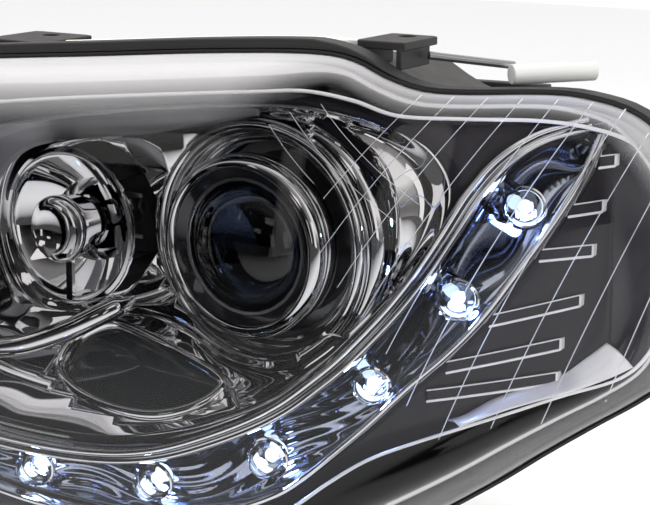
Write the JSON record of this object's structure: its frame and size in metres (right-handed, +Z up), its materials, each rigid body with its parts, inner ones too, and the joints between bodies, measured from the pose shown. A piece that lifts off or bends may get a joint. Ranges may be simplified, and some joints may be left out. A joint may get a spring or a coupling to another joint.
{
  "type": "car headlight assembly",
  "caption": "Left-hand car headlight with a clear cover, projector low beam, bowl high beam, smoked indicator pocket and a row of rising running lights.",
  "frame": {"origin": "centre of the upper face of the inboard upper mounting tab", "axes": "+X outboard towards the car's left-hand side of the road view (image right), -Y forward the way the beam leaves, +Z up"},
  "size_m": [0.4318, 0.2885, 0.2893],
  "materials": {
    "housing_black": "fine grain",
    "clear": "clear, polished",
    "rubber": "matte",
    "foam": "soft closed-cell foam, pale",
    "chrome": "vacuum-metallised, mirror bright",
    "dark_chrome": "smoked chrome, polished",
    "satin_black": "dark grey, satin",
    "board": "white solder mask",
    "smoked": "smoked clear, polished",
    "steel": "zinc plated",
    "aluminium": "die cast, satin",
    "grey_plastic": "satin",
    "projector_glass": "polished glass, slight blue coating",
    "gloss_black": "polished black",
    "clear_glass": "clear bulb glass",
    "white_plastic": "satin",
    "led_clear": "clear, polished, lit from behind",
    "amber": "clear amber"
  },
  "bodies": {
    "lamp_body": {"housing": "housing_black", "outer_lens": "clear", "lens_seal": "rubber", "top_foam": "foam", "main_bezel": "chrome", "bezel_frame": "dark_chrome", "side_panel": "satin_black", "led_trim": "chrome", "led_channel": "chrome", "led_board": "board", "led_lens_1": "led_clear", "led_lens_2": "led_clear", "led_lens_3": "led_clear", "led_lens_4": "led_clear", "led_lens_5": "led_clear", "led_lens_6": "led_clear", "led_lens_7": "led_clear", "pocket_rim": "dark_chrome", "pocket_window": "smoked", "outer_ring": "chrome", "pivot_stud": "steel", "level_motor": "housing_black", "motor_screw_1": "steel", "motor_screw_2": "steel", "led_driver": "aluminium", "driver_screw_1": "steel", "driver_screw_2": "steel", "connector_socket": "housing_black", "vent_cap_1": "rubber", "vent_cap_2": "rubber", "locating_pin": "steel", "locating_peg": "grey_plastic"},
    "pivot_socket": {"pivot_socket": "white_plastic"},
    "carrier": {"carrier_frame": "housing_black", "projector_reflector": "aluminium", "lens_holder": "steel", "projector_lens": "projector_glass", "projector_shroud": "gloss_black", "inner_ring": "chrome", "shutter": "steel", "low_bulb": "clear_glass", "high_beam_reflector": "chrome", "high_beam_cap": "chrome", "high_bulb": "clear_glass"},
    "level_stem": {"level_stem": "white_plastic"},
    "level_screw": {"level_screw": "white_plastic"},
    "aim_stem": {"aim_stem": "white_plastic"},
    "aim_screw": {"aim_screw": "white_plastic"},
    "low_clip": {"low_clip": "steel"},
    "high_clip": {"high_clip": "steel"},
    "low_cap": {"low_cap": "rubber"},
    "high_cap": {"high_cap": "rubber"},
    "turn_bulb": {"turn_bulb_holder": "grey_plastic", "turn_bulb": "amber"}
  },
  "joints": [
    {"name": "aim_swivel", "type": "hinge", "parent": "lamp_body", "child": "pivot_socket", "pos_m": [0.196, 0.076, -0.044], "axis": [0, 0, 1], "range_deg": [-2.5, 2.5]},
    {"name": "level_tilt", "type": "hinge", "parent": "pivot_socket", "child": "carrier", "pos_m": [0.196, 0.076, -0.044], "axis": [1, 0, 0], "range_deg": [-3, 3]},
    {"name": "level_stem_slide", "type": "slide", "parent": "lamp_body", "child": "level_stem", "axis": [0, 1, 0], "range_m": [-0.0065, 0.0065]},
    {"name": "level_screw_turn", "type": "hinge", "parent": "lamp_body", "child": "level_screw", "pos_m": [0.196, 0.182, -0.166], "axis": [0, 1, 0], "range_deg": [-390, 390]},
    {"name": "aim_stem_slide", "type": "slide", "parent": "lamp_body", "child": "aim_stem", "axis": [0, -1, 0], "range_m": [-0.0106, 0.0106]},
    {"name": "aim_screw_turn", "type": "hinge", "parent": "lamp_body", "child": "aim_screw", "pos_m": [-0.044, 0.146, -0.044], "axis": [0, 1, 0], "range_deg": [-640, 640]},
    {"name": "low_clip_swing", "type": "hinge", "parent": "carrier", "child": "low_clip", "pos_m": [0.101, 0.108, -0.096], "axis": [0, 0, 1], "range_deg": [0, 80]},
    {"name": "high_clip_swing", "type": "hinge", "parent": "carrier", "child": "high_clip", "pos_m": [0, 0.034, -0.096], "axis": [0, 0, 1], "range_deg": [0, 80]},
    {"name": "low_cap_twist", "type": "hinge", "parent": "lamp_body", "child": "low_cap", "pos_m": [0.12, 0.155, -0.096], "axis": [0, 1, 0], "range_deg": [0, 45]},
    {"name": "high_cap_twist", "type": "hinge", "parent": "lamp_body", "child": "high_cap", "pos_m": [0.019, 0.14, -0.096], "axis": [0, 1, 0], "range_deg": [0, 45]},
    {"name": "turn_bulb_twist", "type": "hinge", "parent": "lamp_body", "child": "turn_bulb", "pos_m": [0.065, 0.14, -0.178], "axis": [0, 1, 0], "range_deg": [0, 45]}
  ],
  "couplings": [
    {"joint": "level_stem_slide", "follows": "level_tilt", "m_per_rad": 0.122},
    {"joint": "level_screw_turn", "follows": "level_tilt", "ratio": 127.76},
    {"joint": "aim_stem_slide", "follows": "aim_swivel", "m_per_rad": 0.24},
    {"joint": "aim_screw_turn", "follows": "aim_swivel", "ratio": 251.33}
  ]
}
